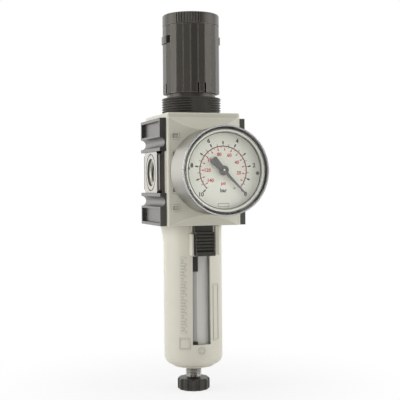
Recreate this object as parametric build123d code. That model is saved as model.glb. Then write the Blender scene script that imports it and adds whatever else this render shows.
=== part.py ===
from build123d import *
import math
import os

# Compressed air filter regulator with a pressure gauge. Millimetres, Z up, the gauge faces -Y.
# The origin is on the bowl axis, at the top face of the housing, where the panel collar stands.

# Housing
housing_width = 45.0
housing_depth = 50.0
housing_height = 66.0
housing_corner = 2.0
lid_height = 3.0
port_height = -34.5
bulge_rise = 3.5
bulge_half_chord = 20.5
bulge_slopes = (7.4, 6.0)
gauge_boss_radius = 9.0
gauge_boss_face = 29.5
gauge_port_radius = 4.9
screw_place = (18.0, 20.5)
screw_radius = 1.9
screw_head_radius = 3.4
screw_length = 15.0

# Square marks in a column beside each vertical edge
mark_size = (4.1, 3.6)
mark_pitch = 10.45
mark_count = 5
mark_border = 0.5
mark_proud = 0.35
mark_depth = 0.5
mark_place = 18.0

# Passages and chambers inside the housing
flange_pocket = (20.4, -6.5)
diaphragm_pocket = (20.4, -8.0)
control_chamber = (16.5, -14.0)
outlet_chamber_radius = 8.5
outlet_chamber_top = -17.0
seat_top = -36.0
seat_bottom = -39.0
seat_outer = 8.0
seat_hole = 4.0
valve_chamber_radius = 7.6
passage_radius = 5.0
bowl_bore_top = -48.0
bowl_bore = 15.35
bowl_flange_top = -57.2
bayonet_bore = 17.2
bayonet_groove = 19.5
bayonet_groove_top = -58.6
bayonet_lip_top = -62.3
bayonet_lug_angle = 34.0
bayonet_slot_angle = 40.0
bayonet_step = 120.0
bayonet_first = 150.0

# Side frames and port inserts
frame_thickness = 3.8
frame_depth = 44.0
groove_radius = 3.0
groove_offset = 17.3
middle_half_depth = 18.2
middle_thickness = 2.9
window_half = (14.3, 12.3)
rib_half_height = 10.3
frame_rim = 1.7
frame_pocket_depth = 2.2
frame_hole_radius = 1.0
insert_half = (14.2, 12.2)
insert_face = 26.0
insert_end = 14.3
insert_spigot = 9.0
thread_radius = 5.725
insert_recess = (8.3, 1.0)
insert_chamfer = 0.8
insert_ring = (11.2, 10.5, 0.5)

# Bonnet, knob and adjusting parts
collar_radius = 18.0
collar_height = 10.4
collar_flat_half_angle = 21.5
spigot_radius = 17.0
neck_radius = 14.7
bonnet_top = 36.0
bonnet_roof = 33.0
bonnet_bore = 12.6
bonnet_key_radius = 13.5
key_width = 4.0
knob_radius = 17.2
knob_facets = 24
knob_facet_turn = -93.0
knob_groove = (0.5, 0.45)
knob_bottom = 13.0
knob_top = 54.0
knob_bore = 15.0
knob_web_bottom = 38.6
knob_web_top = 42.6
knob_upper_bore = 14.6
skirt_slot = (1.4, 5.8)
skirt_slot_turn = 4.5
skirt_slot_angle = 7.5
cap_bottom = 54.3
cap_top = 61.0
cap_notch_count = 9
cap_notch_pitch = 5.6
cap_notch = (0.9, 0.5)
cap_notch_centre = -114.0
bar_half_width = 5.0
bar_bottom = 43.2
bar_top = 47.8
bar_end_radius = 17.8
bar_hole_radius = 2.5
bar_hole_place = -11.5
screw_thread_radius = 4.0
screw_hex_width = 7.0
screw_top = 40.6
nut_bottom = 22.0
nut_height = 6.0
spring_seat = -3.3

# Bowl, guard and filter
bowl_outer = 15.2
bowl_inner = 12.8
bowl_top = -50.0
bowl_flange = (16.6, -58.8, -57.4)
bowl_floor = -145.4
bowl_boss = (6.5, -151.7)
bowl_dome_height = 7.0
seal_height = -54.0
guard_outer = 17.7
guard_inner = 15.9
guard_rounding = 5.3
guard_rim = (12.4, 1.0)
guard_bottom = -151.7
guard_hole = 6.8
guard_neck = (17.0, 15.5, -58.9)
flare_bottom = -84.0
flare_growth = 1.48
flare_shift = 3.43
window_top = -84.4
window_bottom = -137.0
window_half_top = 5.3
window_half_bottom = 5.6
pad_face = 18.6
element = (9.0, 6.0, -90.4, -56.0)
baffle_radius = (11.6, 10.3)
baffle_bottom = -94.0
baffle_skirt_top = -80.0
baffle_leg_count = 6
vane_count = 12

# Lock slide on the front of the guard
slide_half_width = 5.6
slide_top = -66.3
slide_rib_top = -69.6
slide_rib_bottom = -81.2
slide_bottom = -83.7
slide_back = 18.8
slide_step = 21.8
slide_front = 25.5
slide_lip = 26.8
slide_groove_count = 6
slide_groove_depth = 0.8

# Drain
stem_radius = 4.86
stem_bottom = -158.4
drain_knob_radius = 9.75
drain_knob_top = -158.6
drain_knob_bottom = -166.3
drain_flute_count = 12
drain_flute_radius = 1.5
drain_flute_turn = -92.5
spindle_radius = 1.6
drain_seat = (3.4, -154.0)

# Gauge, measured forward from the bowl axis
case_radius = 24.5
case_back = 37.5
case_front = 61.4
case_wall = 1.0
window_rim = (24.9, 63.5)
window_face = (21.8, 61.2)
window_dome = 0.9
dial_face = 57.0
dial_thickness = 0.6
dial_radius = 23.2
pointer_back = 58.1
pointer_front = 58.6
pointer_length = 18.6
pointer_tail = 9.2
pointer_zero_angle = 135.0
hub_radius = 2.7
gear_module = 0.25
pinion_teeth = 12
sector_teeth_full = 96
gear_back = 51.5
gear_front = 52.9
tube_radius = 18.5

half_width = housing_width / 2
half_depth = housing_depth / 2
gauge_place = Pos(0, 0, port_height) * Rot(90, 0, 0)
sector_distance = gear_module * (pinion_teeth + sector_teeth_full) / 2
link_reach = 3.2
link_height = link_reach - sector_distance


def disc(radius, low, high):
    return Pos(0, 0, (low + high) / 2) * Cylinder(radius, high - low)


def tube(outer, inner, low, high):
    return disc(outer, low, high) - disc(inner, low, high)


def slab(x, y, z):
    centre = Pos((x[0] + x[1]) / 2, (y[0] + y[1]) / 2, (z[0] + z[1]) / 2)
    return centre * Box(x[1] - x[0], y[1] - y[0], z[1] - z[0])


def turned(*outline):
    # A solid of revolution about Z, from corners given as (radius, height).
    return revolve(Plane.XZ * make_face(Polyline(*outline, close=True)), Axis.Z)


def drilled_x(radius, near, far):
    # A round rod along X at the height of the ports.
    length = far - near
    return Pos((near + far) / 2, 0, port_height) * Rot(0, 90, 0) * Cylinder(radius, length)


def drilled_y(radius, near, far):
    # A round rod at port height, from near to far in front of the bowl axis.
    return gauge_place * disc(radius, near, far)


def hexagon(width, low, high):
    outline = RegularPolygon(width / math.sqrt(3), 6)
    return extrude(Pos(0, 0, low) * outline, high - low)


def around(count, shape, first=0.0):
    return [Rot(0, 0, first + 360.0 * i / count) * shape for i in range(count)]


def coil(radius, wire, low, high, turns):
    # A compression spring whose wire is swept along a helix.
    path = Pos(0, 0, low + wire) * Helix((high - low - 2 * wire) / turns, high - low - 2 * wire, radius)
    section = Plane(origin=path @ 0, z_dir=path % 0) * Circle(wire)
    return sweep(section, path=path)


def sector_wedge(radius, centre_angle, width_angle, low, high):
    # A pie slice about Z, used to cut or keep part of a ring.
    start = math.radians(centre_angle - width_angle / 2)
    end = math.radians(centre_angle + width_angle / 2)
    reach = radius / math.cos((end - start) / 2)
    corners = [(0, 0)]
    corners.append((reach * math.cos(start), reach * math.sin(start)))
    corners.append((reach * math.cos(end), reach * math.sin(end)))
    face = make_face(Polyline(*corners, close=True))
    return extrude(Pos(0, 0, low) * face, high - low)


# Housing, lid and screws

def bulge():
    # The curved front of the housing: a plan arc, cut back by slopes at the top and bottom.
    plan_ends = [(-bulge_half_chord, -half_depth), (bulge_half_chord, -half_depth)]
    crown = (0, -half_depth - bulge_rise)
    plan = make_face([ThreePointArc(plan_ends[0], crown, plan_ends[1]), Line(*plan_ends)])
    body = extrude(Pos(0, 0, -housing_height) * plan, housing_height - lid_height)
    run = bulge_rise + 0.1
    top = -lid_height
    bottom = -housing_height
    side = Polyline(
        (-half_depth, bottom),
        (-half_depth, top),
        (-half_depth - run, top - bulge_slopes[0]),
        (-half_depth - run, bottom + bulge_slopes[1]),
        close=True,
    )
    slopes = extrude(Plane.YZ * make_face(side), housing_width / 2, both=True)
    return body & slopes


def bulge_radius():
    return (bulge_half_chord ** 2 + bulge_rise ** 2) / (2 * bulge_rise)


def marks(grow):
    # Boxes at the square marks, grown outwards for the raised borders or shrunk for the recesses.
    radius = bulge_radius()
    angle = math.asin(mark_place / radius)
    front = half_depth + bulge_rise - radius + radius * math.cos(angle)
    wide, tall = [size if grow else size - 2 * mark_border for size in mark_size]
    depth = mark_proud if grow else mark_depth
    shift = mark_proud / 2 if grow else mark_proud - mark_depth / 2
    boxes = []
    for sign in (-1, 1):
        for i in range(mark_count):
            height = port_height + (i - (mark_count - 1) / 2) * mark_pitch
            spot = Pos(sign * mark_place, -front, height) * Rot(0, 0, sign * math.degrees(angle))
            size = Box(wide, depth + mark_proud if grow else depth * 2, tall)
            boxes.append(spot * Pos(0, -shift, 0) * size)
    return boxes


def both_faces(shape):
    return [shape, mirror(shape, Plane.XZ)]


def housing_block():
    plan = RectangleRounded(housing_width, housing_depth, housing_corner)
    block = extrude(Pos(0, 0, -housing_height) * plan, housing_height - lid_height)
    block += both_faces(bulge())
    boss = drilled_y(gauge_boss_radius, half_depth, gauge_boss_face)
    block += both_faces(boss)
    for box in marks(True):
        block += both_faces(box)
    for box in marks(False):
        block -= both_faces(box)
    return block


def bayonet_entry():
    # Slots in the lower lip, through which the lugs of the guard go in.
    wide = sector_wedge(30.0, 0, bayonet_slot_angle, -housing_height, bayonet_lip_top)
    slot = wide & disc(bayonet_groove, -housing_height, bayonet_lip_top)
    first = bayonet_first + (bayonet_slot_angle + bayonet_lug_angle) / 2 + 3.0
    return around(3, slot, first)


def housing():
    body = housing_block()
    body -= disc(flange_pocket[0], diaphragm_pocket[1], -lid_height)
    body -= disc(control_chamber[0], control_chamber[1], diaphragm_pocket[1])
    body -= disc(1.4, outlet_chamber_top, control_chamber[1])
    body -= Pos(6.0, 0, 0) * disc(1.0, outlet_chamber_top, control_chamber[1])
    body -= disc(outlet_chamber_radius, seat_top, outlet_chamber_top)
    body -= disc(seat_outer, seat_bottom, seat_top)
    body -= disc(valve_chamber_radius, bowl_bore_top, seat_bottom)
    body -= disc(bowl_bore, bowl_flange_top, bowl_bore_top)
    body -= disc(bayonet_bore, -housing_height, bowl_flange_top)
    body -= disc(bayonet_groove, bayonet_lip_top, bayonet_groove_top)
    body -= bayonet_entry()
    for sign in (-1, 1):
        body -= drilled_x(insert_spigot, *sorted((sign * insert_end, sign * half_width)))
    body -= drilled_x(passage_radius, outlet_chamber_radius - 0.6, insert_end)
    drop = Pos(-insert_end + 2.7, 0, 0) * disc(2.6, bowl_bore_top, port_height)
    body -= drop
    body -= drilled_x(4.0, -insert_end, -insert_end + 4.0)
    port = drilled_y(gauge_port_radius, outlet_chamber_radius - 1.0, gauge_boss_face)
    body -= both_faces(port)
    for x, y in screw_places():
        body -= Pos(x, y, 0) * disc(screw_radius + 0.05, -screw_length - 1.0, -lid_height)
    return body


def screw_places():
    return [(x, y) for x in (-screw_place[0], screw_place[0]) for y in (-screw_place[1], screw_place[1])]


def lid():
    plan = RectangleRounded(housing_width, housing_depth, housing_corner)
    plate = extrude(Pos(0, 0, -lid_height) * plan, lid_height)
    plate = chamfer(plate.faces().sort_by(Axis.Z)[-1].edges(), 0.5)
    plate -= disc(spigot_radius + 0.1, -lid_height, 0)
    for x, y in screw_places():
        plate -= Pos(x, y, 0) * disc(screw_head_radius + 0.1, -2.2, 0)
        plate -= Pos(x, y, 0) * disc(screw_radius + 0.1, -lid_height, 0)
    return plate


def lid_screws():
    screw = disc(screw_head_radius, -2.2, -0.2) + disc(screw_radius, -screw_length, -2.2)
    screw -= hexagon(3.0, -1.5, -0.2)
    return [Pos(x, y, 0) * screw for x, y in screw_places()]


# Side frames and port inserts, made for +X and mirrored for -X

def side_frame():
    low = -housing_height
    high = -lid_height
    outside = half_width + frame_thickness
    half = frame_depth / 2
    frame = slab((half_width, outside), (-half, half), (low, high))
    for sign in (-1, 1):
        groove = Pos(outside, 0, port_height + sign * groove_offset) * Rot(90, 0, 0)
        frame -= groove * Cylinder(groove_radius, frame_depth)
    panels = [(port_height + groove_offset + groove_radius + 1.2, high - frame_rim)]
    panels.append((low + frame_rim, port_height - groove_offset - groove_radius - 1.2))
    for bottom, top in panels:
        inner = half - frame_rim
        frame -= slab((outside - frame_pocket_depth, outside), (-inner, inner), (bottom, top))
        for y in (-inner + 2.2, inner - 2.2):
            spot = Pos(half_width + 1.0, y, (bottom + top) / 2) * Rot(0, 90, 0)
            frame -= spot * Cylinder(frame_hole_radius, 4.0)
    middle = (port_height - window_half[1], port_height + window_half[1])
    rib = (port_height - rib_half_height, port_height + rib_half_height)
    frame -= slab((half_width, outside), (-half, half), middle)
    border = slab((half_width, half_width + middle_thickness), (-middle_half_depth, middle_half_depth), rib)
    foot = slab((half_width, half_width + 1.0), (-middle_half_depth, middle_half_depth), middle)
    frame += [border, foot]
    frame -= slab((half_width, outside), (-window_half[0], window_half[0]), middle)
    return frame


def port_insert():
    middle = (port_height - insert_half[1], port_height + insert_half[1])
    flange = slab((half_width, insert_face), (-insert_half[0], insert_half[0]), middle)
    flange = chamfer(flange.edges().filter_by(Axis.X), 1.0)
    insert = flange + drilled_x(insert_spigot - 0.02, insert_end, half_width)
    insert -= drilled_x(thread_radius, insert_end, insert_face)
    step = insert_face - insert_recess[1]
    insert -= drilled_x(insert_recess[0], step, insert_face)
    cone = Pos(step - insert_chamfer / 2, 0, port_height) * Rot(0, 90, 0)
    insert -= cone * Cone(thread_radius, thread_radius + insert_chamfer, insert_chamfer)
    depth = insert_ring[2]
    ring = drilled_x(insert_ring[0], insert_face - depth, insert_face)
    ring -= drilled_x(insert_ring[1], insert_face - depth, insert_face)
    return insert - ring


# Bonnet, knob and adjusting parts

def bonnet():
    body = disc(collar_radius, 0, collar_height)
    body = chamfer(body.edges().sort_by(Axis.Z)[-1], 0.7)
    body += disc(spigot_radius, -lid_height, 0)
    body += disc(flange_pocket[0] - 0.1, flange_pocket[1], -lid_height)
    body += disc(neck_radius, collar_height, bonnet_top)
    flat = collar_radius * math.cos(math.radians(collar_flat_half_angle))
    for sign in (-1, 1):
        span = tuple(sorted((sign * flat, sign * 30.0)))
        body -= slab((-30.0, 30.0), span, (0, collar_height))
    body -= disc(bonnet_bore, flange_pocket[1], bonnet_roof)
    body -= disc(control_chamber[0] + 0.4, flange_pocket[1], flange_pocket[1] + 2.1)
    key = disc(bonnet_key_radius, flange_pocket[1], bonnet_roof)
    body -= key & slab((-30, 30), (-key_width / 2 - 0.1, key_width / 2 + 0.1), (-10, bonnet_roof))
    return body - disc(screw_thread_radius + 0.05, bonnet_roof, bonnet_top)


def adjusting_screw():
    screw = disc(screw_thread_radius, 6.0, bonnet_top)
    screw += disc(screw_thread_radius + 2.0, bonnet_roof - 1.6, bonnet_roof - 0.05)
    screw += hexagon(screw_hex_width, bonnet_top, screw_top)
    return screw


def spring_nut():
    nut = disc(bonnet_bore - 0.3, nut_bottom, nut_bottom + nut_height)
    wings = disc(bonnet_key_radius - 0.15, nut_bottom, nut_bottom + nut_height)
    wings &= slab((-30, 30), (-key_width / 2, key_width / 2), (nut_bottom, nut_bottom + nut_height))
    nut += wings
    nut -= tube(bonnet_bore - 1.6, 7.0, nut_bottom, nut_bottom + 1.5)
    return nut - disc(screw_thread_radius + 0.05, nut_bottom, nut_bottom + nut_height)


def main_spring():
    return coil(9.0, 1.1, spring_seat + 0.05, nut_bottom + 1.45, 6.0)


def knob_plan():
    # Flat facets with a narrow groove along every corner between them.
    width, depth = knob_groove
    corner = knob_radius - depth
    groove = make_face(Polyline((corner, 0), (knob_radius + 1, -width), (knob_radius + 1, width), close=True))
    plan = Rot(0, 0, knob_facet_turn) * RegularPolygon(knob_radius, knob_facets)
    for i in range(knob_facets):
        plan -= Rot(0, 0, knob_facet_turn + i * 360.0 / knob_facets) * groove
    return plan


def knob():
    body = extrude(Pos(0, 0, knob_bottom) * knob_plan(), knob_top - knob_bottom)
    body -= disc(knob_bore, knob_bottom, knob_web_bottom)
    body -= disc(knob_upper_bore, knob_web_top, knob_top)
    body -= hexagon(screw_hex_width + 0.1, knob_web_bottom, knob_web_top)
    body -= slab((-20, 20), (-bar_half_width - 0.1, bar_half_width + 0.1), (bar_bottom - 0.1, bar_top + 0.1))
    slot = slab((knob_bore - 1.0, 18.0), (-skirt_slot[0] / 2, skirt_slot[0] / 2),
                (knob_bottom, knob_bottom + skirt_slot[1]))
    for angle in (-skirt_slot_angle, skirt_slot_angle):
        body -= around(4, slot, skirt_slot_turn + angle)
    for turn in (0.0, 180.0):
        body -= Rot(0, 0, turn) * slab((-20, -15.2), (-8.6, -bar_half_width), (bar_bottom - 0.1, bar_top + 0.1))
    return body


def knob_cap():
    cap = disc(knob_radius, cap_bottom, cap_top)
    cap = fillet(cap.edges().sort_by(Axis.Z)[-1], 1.0)
    cap += tube(knob_upper_bore - 0.1, knob_upper_bore - 2.0, bar_top + 0.3, cap_bottom)
    cap -= disc(knob_upper_bore - 2.0, cap_bottom, cap_top - 2.0)
    width, depth = cap_notch
    notch = slab((knob_radius - depth, 18.0), (-width / 2, width / 2), (cap_bottom, cap_top))
    for side in (0.0, 180.0):
        for i in range(cap_notch_count):
            step = (i - (cap_notch_count - 1) / 2) * cap_notch_pitch
            cap -= Rot(0, 0, cap_notch_centre + side + step) * notch
    return cap


def lock_bar():
    bar = disc(bar_end_radius, bar_bottom, bar_top)
    bar &= slab((-20, 20), (-bar_half_width, bar_half_width), (bar_bottom, bar_top))
    bar = fillet(bar.edges().filter_by(Axis.Z), 0.6)
    return bar - Pos(bar_hole_place, 0, 0) * disc(bar_hole_radius, bar_bottom, bar_top)


# Diaphragm and valve

def diaphragm():
    # A clamped rim and one rolled convolution around the moving plate.
    rim = tube(flange_pocket[0] - 0.2, control_chamber[0], diaphragm_pocket[1], flange_pocket[1])
    middle = (control_chamber[0] + 11.6) / 2
    outer = (control_chamber[0] - 11.6) / 2
    fold = Pos(0, 0, -7.4) * Torus(middle, outer) - Pos(0, 0, -7.4) * Torus(middle, outer - 0.9)
    fold &= tube(control_chamber[0], 11.6, -7.6, 0)
    foot = tube(control_chamber[0] + 0.5, control_chamber[0] - 0.9, -8.0, -7.2)
    centre = tube(11.9, 3.05, -8.0, -7.25)
    return rim + fold + foot + centre


def diaphragm_plate():
    plate = disc(11.1, -7.2, -5.4) + disc(8.0 - 0.6, -5.4, spring_seat - 0.05)
    plate += tube(11.1, 10.6, -5.4, -3.6)
    return plate + disc(3.0, -9.5, -7.2)


def valve_seat():
    ring = tube(seat_outer - 0.02, seat_hole, seat_bottom, seat_top)
    lip = tube(seat_hole + 1.0, seat_hole, seat_bottom - 0.6, seat_bottom)
    return ring + lip


def valve_stem():
    stem = disc(1.3, -43.0, -9.5) + disc(5.6, -43.0, -40.4)
    stem += disc(1.3, -51.0, -43.0)
    return stem


def valve_disc():
    return tube(5.6, 1.3, -40.4, seat_bottom - 0.62)


def valve_spring():
    return coil(3.6, 0.4, -46.45, -43.05, 3.5)


# Filter, hung from the housing by the stud

def filter_stud():
    stud = disc(valve_chamber_radius - 0.05, -50.0, -46.5) + disc(2.5, -97.0, -50.0)
    stud -= disc(1.4, -53.0, -46.5)
    hole = Pos(4.9, 0, 0) * disc(1.3, -50.0, -46.5)
    return stud - around(6, hole)


def deflector():
    hub = disc(9.4, element[3], -50.6) - disc(2.6, element[3], -50.6)
    hub -= around(6, Pos(4.9, 0, 0) * disc(1.3, element[3], -50.6), 30.0)
    blade = Pos(10.7, 0, (element[3] - 50.6) / 2) * Rot(35, 0, 0) * Box(3.2, 0.9, 5.0)
    hub += around(vane_count, blade)
    hub += tube(7.6, 2.6, -50.6, -50.0)
    return hub & disc(12.3, element[3], -50.0)


def filter_element():
    outer, inner, low, high = element
    return tube(outer, inner, low, high)


def baffle():
    # A thin plate under the element, with a skirt that ends in legs.
    outer, inner = baffle_radius
    low = element[2] - 0.8
    skirt = tube(outer, inner, baffle_bottom, baffle_skirt_top)
    gap = sector_wedge(20.0, 0, 180.0 / baffle_leg_count, baffle_bottom, element[2])
    skirt -= around(baffle_leg_count, gap, -75.0)
    plate = tube(outer, 2.6, low, element[2])
    return skirt + plate


def baffle_nut():
    return hexagon(8.0, -95.2, element[2] - 0.8) - disc(2.52, -95.2, element[2] - 0.8)


# Bowl and guard

def bowl():
    flange_radius, flange_low, flange_high = bowl_flange
    under = bowl_floor - 2.4
    body = disc(bowl_outer, under + bowl_dome_height, bowl_top)
    body += disc(flange_radius, flange_low, flange_high)
    body += turned_dome(bowl_outer, under + bowl_dome_height + 0.1, 7.0, under)
    body += disc(bowl_boss[0], bowl_boss[1], under + 0.5)
    body -= disc(bowl_inner, bowl_floor + bowl_dome_height, bowl_top)
    body -= turned_dome(bowl_inner, bowl_floor + bowl_dome_height + 0.1, 6.0, bowl_floor)
    body -= disc(4.0, bowl_boss[1], bowl_floor)
    groove = tube(bowl_outer + 1.0, bowl_outer - 1.8, seal_height - 1.2, seal_height + 1.2)
    return body - groove


def turned_dome(radius, start, flat_radius, end):
    # A rounded floor: from the wall at the start height to a flat centre at the end height.
    along = Line((radius, start), (0, start))
    axis = Line((0, start), (0, end))
    floor = Line((0, end), (flat_radius, end))
    height = start - end
    side = EllipticalCenterArc((flat_radius, start), radius - flat_radius, height, 270, arc_size=90)
    return revolve(Plane.XZ * make_face([along, axis, floor, side]), Axis.Z)


def bowl_seal():
    return Pos(0, 0, seal_height) * Torus(bowl_outer - 0.85, 0.94)


def flare():
    # The top of the guard widens towards the back, where it meets the housing.
    sections = []
    for share in (0.0, 0.35, 0.7, 1.0):
        height = flare_bottom + share * (-housing_height - flare_bottom)
        bend = share ** 2.6
        circle = Circle(guard_outer - 0.15 + flare_growth * bend)
        sections.append(Pos(0, flare_shift * bend, height - 0.05) * circle)
    return loft(sections)


def guard_shell():
    # A long cup with a rounded bottom edge, a thin standing rim below it and a flared top.
    rim_radius, rim_height = guard_rim
    floor = guard_bottom + rim_height
    shell = disc(guard_outer, floor, -housing_height - 0.05)
    shell = fillet(shell.edges().sort_by(Axis.Z)[0], guard_rounding)
    shell += tube(rim_radius, rim_radius - 1.6, guard_bottom, floor + 0.5)
    shell += flare()
    hollow = disc(guard_inner, floor + 1.8, -housing_height)
    hollow = fillet(hollow.edges().sort_by(Axis.Z)[0], guard_rounding - 1.8)
    return shell - hollow - disc(guard_hole, guard_bottom, floor + 2.0)


def guard_window():
    low = (window_half_bottom, window_bottom)
    high = (window_half_top, window_top)
    outline = Polyline((-low[0], low[1]), low, high, (-high[0], high[1]), close=True)
    opening = extrude(Plane.XZ * make_face(outline), 30.0)
    return opening


def guard_pad():
    # The flat pad on which the lock slide runs, with a thin rail on one side and a block on the other.
    top = -housing_height - 0.3
    pad = slab((-6.3, 6.3), (-pad_face, -14.0), (window_top + 0.1, top))
    rail = slab((-7.2, -6.2), (-22.6, -14.0), (-83.8, -71.1))
    block = slab((6.1, 9.8), (-21.3, -14.0), (-83.8, top))
    block -= slab((6.6, 7.6), (-21.3, -20.1), (-83.8, top))
    ledge = slab((-1.5, 1.5), (-21.8, -pad_face), (-80.0, -78.8))
    return pad + rail + block + ledge - disc(guard_inner, -90, -60)


def guard_badge_ring():
    # The small raised ring below the window.
    spot = Pos(0, 0, -140.6) * Rot(90, 0, 0)
    ring = spot * tube(2.2, 1.6, 14.0, 20.0)
    return ring & tube(guard_outer + 0.3, guard_inner + 0.5, -145.0, -136.0)


def bowl_guard():
    guard = guard_shell() - guard_window() + guard_pad() + guard_badge_ring()
    outer, inner, top = guard_neck
    base = -housing_height - 1.5
    guard += tube(outer, inner, base, top)
    guard += tube(guard_inner + 0.5, inner, base, base + 1.0)
    lug = tube(bayonet_groove - 0.3, inner + 0.5, bayonet_lip_top + 0.2, top)
    keep = sector_wedge(30.0, 0, bayonet_lug_angle, bayonet_lip_top, top)
    guard += around(3, lug & keep, bayonet_first)
    return guard


def lock_slide():
    # A side view with rounded finger grooves, drawn out to the width of the slide.
    corners = [(-slide_back, slide_top), (-slide_step, slide_top), (-slide_step, slide_rib_top)]
    pitch = (slide_rib_top - slide_rib_bottom) / slide_groove_count
    for i in range(slide_groove_count):
        top = slide_rib_top - i * pitch
        corners.append((-slide_front, top - 0.15 * pitch))
        corners.append((-slide_front, top - 0.55 * pitch))
        corners.append((-slide_front + slide_groove_depth, top - 0.8 * pitch))
    corners.append((-slide_lip, slide_rib_bottom - 0.4))
    corners.append((-slide_lip, slide_bottom))
    corners.append((-slide_back, slide_bottom))
    side = make_face(Polyline(*corners, close=True))
    body = extrude(Plane.YZ * side, slide_half_width, both=True)
    return body - slab((-1.8, 1.8), (-22.2, -slide_back), (-81.0, -70.3))


def lock_spring():
    return Pos(0, -20.4, 0) * coil(1.1, 0.25, -78.75, -70.35, 7.0)


# Drain

def drain_body():
    body = disc(stem_radius, stem_bottom, bowl_boss[1]) + disc(3.95, bowl_boss[1], bowl_floor)
    body += disc(6.0, bowl_floor, bowl_floor + 1.6)
    body -= disc(spindle_radius + 0.6, stem_bottom, bowl_floor + 1.6)
    return body - disc(drain_seat[0], stem_bottom, drain_seat[1])


def drain_spindle():
    radius, seat = drain_seat
    shaft = disc(spindle_radius, -162.4, bowl_floor - 1.0)
    return shaft + disc(radius - 0.3, seat - 2.2, seat - 1.0)


def drain_seal():
    radius, seat = drain_seat
    return tube(radius - 0.2, spindle_radius, seat - 1.0, seat)


def drain_knob():
    plan = Circle(drain_knob_radius)
    flute = Pos(drain_knob_radius + 0.25, 0) * Circle(drain_flute_radius)
    for cut in around(drain_flute_count, flute, drain_flute_turn):
        plan -= cut
    rim_top = drain_knob_top - 0.8
    body = extrude(Pos(0, 0, drain_knob_bottom) * plan, rim_top - drain_knob_bottom)
    body &= turned((0, rim_top), (drain_knob_radius - 0.8, rim_top), (drain_knob_radius, rim_top - 0.8),
                   (drain_knob_radius, drain_knob_bottom + 0.8),
                   (drain_knob_radius - 0.8, drain_knob_bottom), (0, drain_knob_bottom))
    body += disc(3.8, rim_top, drain_knob_top)
    body -= disc(spindle_radius, -162.4, drain_knob_top)
    return body - disc(3.0, drain_knob_bottom, -163.6)


# Gauge: every piece is drawn facing up Z and then turned to face -Y.
# The movement and the pointer are drawn for a scale that runs clockwise and mirrored for this one.

def gauge_stem():
    stem = disc(stem_radius, 17.0, gauge_boss_face + 1.4)
    stem += hexagon(14.0, gauge_boss_face + 1.4, case_back - 1.5)
    stem += disc(5.0, case_back - 1.5, case_back + 1.4)
    stem += slab((-5.0, 5.0), (-5.0, 5.0), (case_back + 1.4, 48.0))
    return gauge_place * (stem - disc(1.5, 17.0, 46.0))


def gauge_seal():
    return gauge_place * tube(7.5, stem_radius + 0.05, gauge_boss_face, gauge_boss_face + 1.4)


def gauge_case():
    cup = disc(case_radius, case_back, case_front)
    cup = fillet(cup.edges().sort_by(Axis.Z)[0], 1.0)
    cup = fillet(cup.edges().sort_by(Axis.Z)[-1], 0.3)
    cup -= disc(case_radius - case_wall, case_back + 1.2, case_front)
    return gauge_place * (cup - disc(5.05, case_back, case_back + 1.2))


def gauge_window():
    # A clear cover: a thick rim in front of the case, a skirt inside it and a low dome over the dial.
    rim_radius, rim_front = window_rim
    skirt = case_radius - case_wall - 0.05
    edge, face = window_face
    back = face - 1.1
    corners = [(edge - 0.2, back), (edge - 0.2, dial_face + 0.05), (skirt, dial_face + 0.05)]
    corners += [(skirt, case_front), (rim_radius, case_front), (rim_radius, rim_front - 0.4)]
    corners += [(rim_radius - 0.4, rim_front), (rim_radius - 1.1, rim_front), (edge, face)]
    front = TangentArc((0, face + window_dome), (edge, face), tangent=(1, 0))
    axis = Line((0, face + window_dome), (0, back + window_dome))
    under = TangentArc((0, back + window_dome), (edge - 0.2, back), tangent=(1, 0))
    return gauge_place * revolve(Plane.XZ * make_face([Polyline(*corners), front, axis, under]), Axis.Z)


def gauge_dial():
    dial = disc(dial_radius, dial_face - dial_thickness, dial_face)
    return gauge_place * (dial - disc(1.2, dial_face - dial_thickness, dial_face))


def gauge_pointer():
    # A tapered needle with a paddle on its tail, turned to the zero mark.
    needle = make_face(Polyline((-0.85, 0), (0.85, 0), (0.3, pointer_length), (-0.3, pointer_length), close=True))
    paddle = make_face(Polyline((-1.2, 0), (1.2, 0), (2.3, -pointer_tail + 1.0), (1.7, -pointer_tail),
                                (-1.7, -pointer_tail), (-2.3, -pointer_tail + 1.0), close=True))
    plan = needle + paddle + Circle(hub_radius)
    plate = extrude(Pos(0, 0, pointer_back) * plan, pointer_front - pointer_back)
    plate += disc(0.9, pointer_front, pointer_front + 0.45)
    plate -= disc(0.62, pointer_back, pointer_front - 0.1)
    return gauge_place * Rot(0, 0, pointer_zero_angle) * plate


def gear_plan(teeth, first, last, phase):
    # Straight-sided teeth from the first to the last, about the centre.
    pitch_radius = gear_module * teeth / 2
    root = pitch_radius - 1.3 * gear_module
    tip = pitch_radius + 0.9 * gear_module
    step = 360.0 / teeth
    corners = []
    for i in range(first, last):
        for radius, share in ((root, -0.30), (tip, -0.10), (tip, 0.10), (root, 0.30)):
            angle = math.radians(phase + (i + share) * step)
            corners.append((radius * math.cos(angle), radius * math.sin(angle)))
    return corners


def pointer_pinion():
    corners = gear_plan(pinion_teeth, 0, pinion_teeth, 90.0 + 180.0 / pinion_teeth)
    wheel = extrude(Pos(0, 0, gear_back) * make_face(Polyline(*corners, close=True)), gear_front - gear_back)
    return gauge_place * (wheel + disc(0.6, 49.2, pointer_front - 0.12))


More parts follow.
